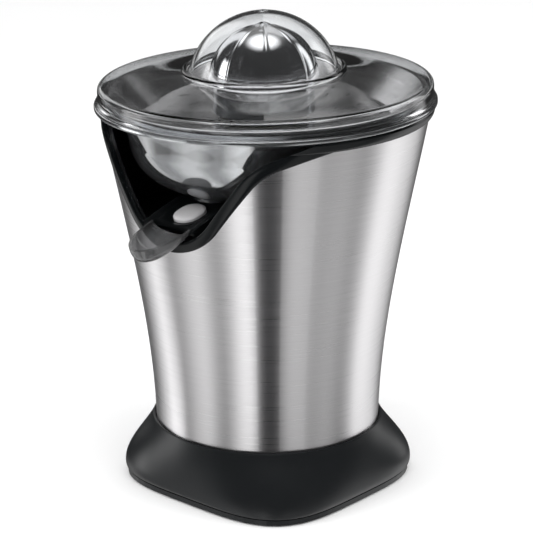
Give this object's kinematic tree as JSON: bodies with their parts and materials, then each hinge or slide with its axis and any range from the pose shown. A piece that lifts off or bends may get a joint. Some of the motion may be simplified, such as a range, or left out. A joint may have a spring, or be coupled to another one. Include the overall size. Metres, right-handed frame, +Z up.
{
  "type": "citrus press juicer",
  "caption": "Electric citrus press: flared steel body on a rounded-square black base, clear bowl, sieve and domed lid, reaming cone, hinged drip-stop spout.",
  "frame": {"origin": "on the counter under the cone's turning axis, at the centre of the base's footprint", "axes": "+Z up along the cone's axis; the spout points along -Y and the cord inlet is at the back, along +Y"},
  "size_m": [0.2, 0.2125, 0.2898],
  "materials": {
    "black_base": "fine satin grain",
    "black_gloss": "gloss",
    "steel_brushed": "brushed round the body",
    "steel_polished": "polished",
    "clear": "clear moulded plastic",
    "smoke": "smoky clear plastic",
    "silver_button": "silver paint, satin",
    "rubber": "matte",
    "screw_steel": "zinc plated",
    "white_acetal": "natural acetal",
    "bronze": "sintered",
    "winding": "lacquered copper",
    "carbon": "pressed carbon",
    "switch_red": "moulded"
  },
  "bodies": {
    "housing": {"base_plate": "black_base", "rubber_feet": "rubber", "base_screws": "screw_steel", "base_skirt": "black_base", "cord_inlet": "rubber", "body_sleeve": "steel_brushed", "body_trim": "black_gloss", "inner_housing": "black_gloss", "motor_can": "screw_steel", "motor_end_cap": "white_acetal", "motor_field": "screw_steel", "carbon_brushes": "carbon", "gear_tray": "black_base", "gear_cover": "black_base", "gearbox_screws": "screw_steel", "idler_pin": "screw_steel", "shaft_bushes": "bronze", "return_spring": "screw_steel", "micro_switch": "black_base"},
    "rotor": {"motor_rotor": "winding", "motor_pinion": "bronze"},
    "idler": {"idler_gear": "white_acetal"},
    "output": {"output_gear": "white_acetal"},
    "cup": {"thrust_cup": "white_acetal"},
    "shaft": {"drive_shaft": "screw_steel"},
    "plunger": {"switch_plunger": "switch_red"},
    "bowl": {"bowl": "clear", "spout_housing": "black_gloss"},
    "button": {"spout_button": "silver_button"},
    "nose": {"spout_nose": "smoke", "nose_pins": "black_gloss"},
    "sieve": {"sieve": "steel_polished"},
    "press": {"slip_washer": "white_acetal"},
    "cone": {"cone": "steel_polished", "cone_core": "black_gloss"},
    "lid": {"lid": "clear"}
  },
  "joints": [
    {"name": "bowl_lift", "type": "slide", "parent": "housing", "child": "bowl", "axis": [0, 0, 1], "range_m": [0, 0.09]},
    {"name": "sieve_lift", "type": "slide", "parent": "bowl", "child": "sieve", "axis": [0, 0, 1], "range_m": [0, 0.05]},
    {"name": "lid_lift", "type": "slide", "parent": "sieve", "child": "lid", "axis": [0, 0, 1], "range_m": [0, 0.1]},
    {"name": "cone_press", "type": "slide", "parent": "sieve", "child": "press", "axis": [0, 0, -1], "range_m": [0, 0.002], "stiffness_N_per_m": 2000, "springref_m": -0.004, "deforming": ["return_spring"]},
    {"name": "cone_spin", "type": "hinge", "parent": "press", "child": "cone", "pos_m": [0, 0, 0.236], "axis": [0, 0, 1], "continuous": true},
    {"name": "shaft_press", "type": "slide", "parent": "housing", "child": "cup", "axis": [0, 0, -1], "range_m": [0, 0.002]},
    {"name": "shaft_spin", "type": "hinge", "parent": "cup", "child": "shaft", "pos_m": [0, 0, 0.2], "axis": [0, 0, 1], "continuous": true},
    {"name": "output_spin", "type": "hinge", "parent": "housing", "child": "output", "pos_m": [0, 0, 0.134], "axis": [0, 0, 1], "continuous": true},
    {"name": "idler_spin", "type": "hinge", "parent": "housing", "child": "idler", "pos_m": [0.0375, 0, 0.13], "axis": [0, 0, 1], "continuous": true},
    {"name": "rotor_spin", "type": "hinge", "parent": "housing", "child": "rotor", "pos_m": [0, 0, 0.08], "axis": [0, 0, 1], "continuous": true},
    {"name": "plunger_press", "type": "slide", "parent": "housing", "child": "plunger", "axis": [0, 0, -1], "range_m": [0, 0.0012]},
    {"name": "nose_tilt", "type": "hinge", "parent": "bowl", "child": "nose", "pos_m": [0, -0.08149, 0.17688], "axis": [-1, 0, 0], "range_deg": [0, 30]},
    {"name": "button_press", "type": "slide", "parent": "bowl", "child": "button", "axis": [0, 0.2334, -0.9724], "range_m": [0, 0.0015], "stiffness_N_per_m": 400, "springref_m": -0.002}
  ],
  "couplings": [
    {"joint": "shaft_press", "follows": "cone_press", "ratio": 1},
    {"joint": "plunger_press", "follows": "cone_press", "ratio": 0.6},
    {"joint": "shaft_spin", "follows": "cone_spin", "ratio": 1},
    {"joint": "output_spin", "follows": "cone_spin", "ratio": 1},
    {"joint": "idler_spin", "follows": "cone_spin", "ratio": -4},
    {"joint": "rotor_spin", "follows": "cone_spin", "ratio": 16}
  ]
}
